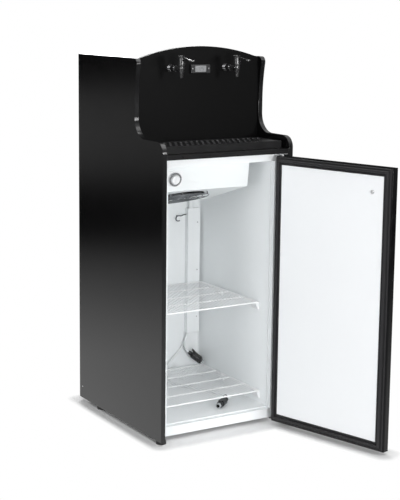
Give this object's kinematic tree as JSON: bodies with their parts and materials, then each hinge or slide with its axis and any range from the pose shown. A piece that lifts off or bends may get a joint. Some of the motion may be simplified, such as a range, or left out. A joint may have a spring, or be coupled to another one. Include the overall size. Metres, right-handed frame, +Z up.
{
  "type": "refrigerated wine dispenser",
  "caption": "Free-standing refrigerated wine dispenser: taps over a drip tray, swept side panels, hinged door, wire shelves and bag hoses inside.",
  "frame": {"origin": "on the floor, in the middle of the cabinet's footprint between the side panels", "axes": "+Z up, +X to the cabinet's right seen from the front, +Y to its back; the door and taps face -Y"},
  "size_m": [0.7365, 1.2396, 1.5639],
  "materials": {
    "board_black": "smooth black laminate, satin",
    "deck_grey": "dark grey laminate",
    "tap_black": "moulded black plastic",
    "tray_black": "moulded black plastic",
    "metal_bright": "polished plate",
    "steel_zinc": "zinc plate",
    "case_grey": "coated sheet",
    "foam": "rigid foam",
    "liner_white": "white moulded liner",
    "door_black": "dark coated sheet over foam",
    "panel_white": "white sheet, slight gloss",
    "seal_grey": "soft dark grey profile",
    "wire_white": "white coated wire",
    "guard_grey": "grey coated wire",
    "fan_grey": "moulded grey plastic",
    "dial_white": "moulded white plastic",
    "hose_clear": "milky flexible hose",
    "coupler_black": "moulded black plastic",
    "nylon": "natural nylon",
    "foot_rubber": "black rubber",
    "lens_grey": "grey display window",
    "gauge_black": "moulded black plastic",
    "cast_black": "black enamel",
    "copper": "copper tube and aluminium fins",
    "pump_grey": "moulded grey plastic",
    "bush_seal": "black rubber seat"
  },
  "bodies": {
    "cabinet": {"side_panel_left": "board_black", "side_panel_right": "board_black", "tap_board": "board_black", "deck_board": "deck_grey", "top_panel": "board_black", "rear_cover": "case_grey", "fridge_casing": "case_grey", "fridge_insulation": "foam", "fridge_liner": "liner_white", "evaporator_housing": "liner_white", "evaporator_coil": "copper", "fan_guard": "guard_grey", "fan_motor": "fan_grey", "thermostat_plate": "dial_white", "line_trunking": "liner_white", "trunking_screws": "steel_zinc", "line_conduit": "liner_white", "sensor_clip": "guard_grey", "shelf_brackets": "dial_white", "coupler_shelf": "coupler_black", "coupler_floor": "coupler_black", "hose_short": "hose_clear", "hose_long": "hose_clear", "hinge_plate_top": "steel_zinc", "hinge_plate_bottom": "steel_zinc", "glides": "foot_rubber", "casing_feet": "foot_rubber", "tap_shank_left": "metal_bright", "tap_shank_right": "metal_bright", "tap_body_left": "tap_black", "tap_body_right": "tap_black", "thermometer_housing": "gauge_black", "thermometer_lens": "lens_grey", "thermometer_screws": "steel_zinc", "compressor": "cast_black", "condenser": "copper", "condenser_fan_motor": "case_grey", "pump_left": "pump_grey", "pump_right": "pump_grey", "beverage_lines": "hose_clear", "suction_lines": "hose_clear", "power_inlet": "tray_black"},
    "door": {"door_slab": "door_black", "hinge_bushes": "nylon", "door_gasket": "seal_grey", "door_inner_panel": "panel_white", "door_knob": "tap_black", "knob_bolt": "steel_zinc"},
    "upper_shelf": {"shelf_upper": "wire_white"},
    "lower_shelf": {"shelf_lower": "wire_white"},
    "tray": {"drip_tray": "tray_black"},
    "grille": {"drip_grille": "tray_black"},
    "lever_left": {"tap_lever_left": "tap_black"},
    "lever_right": {"tap_lever_right": "tap_black"},
    "plunger_left": {"tap_plunger_left": "bush_seal"},
    "plunger_right": {"tap_plunger_right": "bush_seal"},
    "cooler_fan": {"fan_blades": "fan_grey"},
    "condenser_rotor": {"condenser_fan": "fan_grey"},
    "dial": {"thermostat_knob": "dial_white"}
  },
  "joints": [
    {"name": "door_hinge", "type": "hinge", "parent": "cabinet", "child": "door", "pos_m": [0.265, -0.348, 0.57], "axis": [0, 0, 1], "range_deg": [-105.9, 8]},
    {"name": "upper_shelf_slide", "type": "slide", "parent": "cabinet", "child": "upper_shelf", "axis": [0, -1, 0], "range_m": [0, 0.1]},
    {"name": "lower_shelf_slide", "type": "slide", "parent": "cabinet", "child": "lower_shelf", "axis": [0, -1, 0], "range_m": [0, 0.08]},
    {"name": "tray_slide", "type": "slide", "parent": "cabinet", "child": "tray", "axis": [0, -1, 0], "range_m": [0, 0.16]},
    {"name": "grille_lift", "type": "slide", "parent": "tray", "child": "grille", "axis": [0, 0, 1], "range_m": [0, 0.06]},
    {"name": "lever_left_pull", "type": "hinge", "parent": "cabinet", "child": "lever_left", "pos_m": [-0.142, -0.22, 1.522], "axis": [1, 0, 0], "range_deg": [0, 25], "stiffness_Nm_per_rad": 0.4, "springref_deg": -20.05},
    {"name": "lever_right_pull", "type": "hinge", "parent": "cabinet", "child": "lever_right", "pos_m": [0.119, -0.22, 1.522], "axis": [1, 0, 0], "range_deg": [0, 25], "stiffness_Nm_per_rad": 0.4, "springref_deg": -20.05},
    {"name": "plunger_left_lift", "type": "slide", "parent": "cabinet", "child": "plunger_left", "axis": [0, 0, 1], "range_m": [0, 0.004]},
    {"name": "plunger_right_lift", "type": "slide", "parent": "cabinet", "child": "plunger_right", "axis": [0, 0, 1], "range_m": [0, 0.004]},
    {"name": "cooler_fan_spin", "type": "hinge", "parent": "cabinet", "child": "cooler_fan", "pos_m": [-0.095, -0.12562, 0.95792], "axis": [0, 0.2939, 0.9558], "continuous": true},
    {"name": "condenser_fan_spin", "type": "hinge", "parent": "cabinet", "child": "condenser_rotor", "pos_m": [0.045, 0.238, 1.265], "axis": [0, 1, 0], "continuous": true},
    {"name": "dial_turn", "type": "hinge", "parent": "cabinet", "child": "dial", "pos_m": [-0.205, -0.27576, 1.053], "axis": [0, -0.9913, -0.1315], "range_deg": [-140, 140]}
  ],
  "couplings": [
    {"joint": "plunger_left_lift", "follows": "lever_left_pull", "m_per_rad": 0.009158},
    {"joint": "plunger_right_lift", "follows": "lever_right_pull", "m_per_rad": 0.009158}
  ]
}
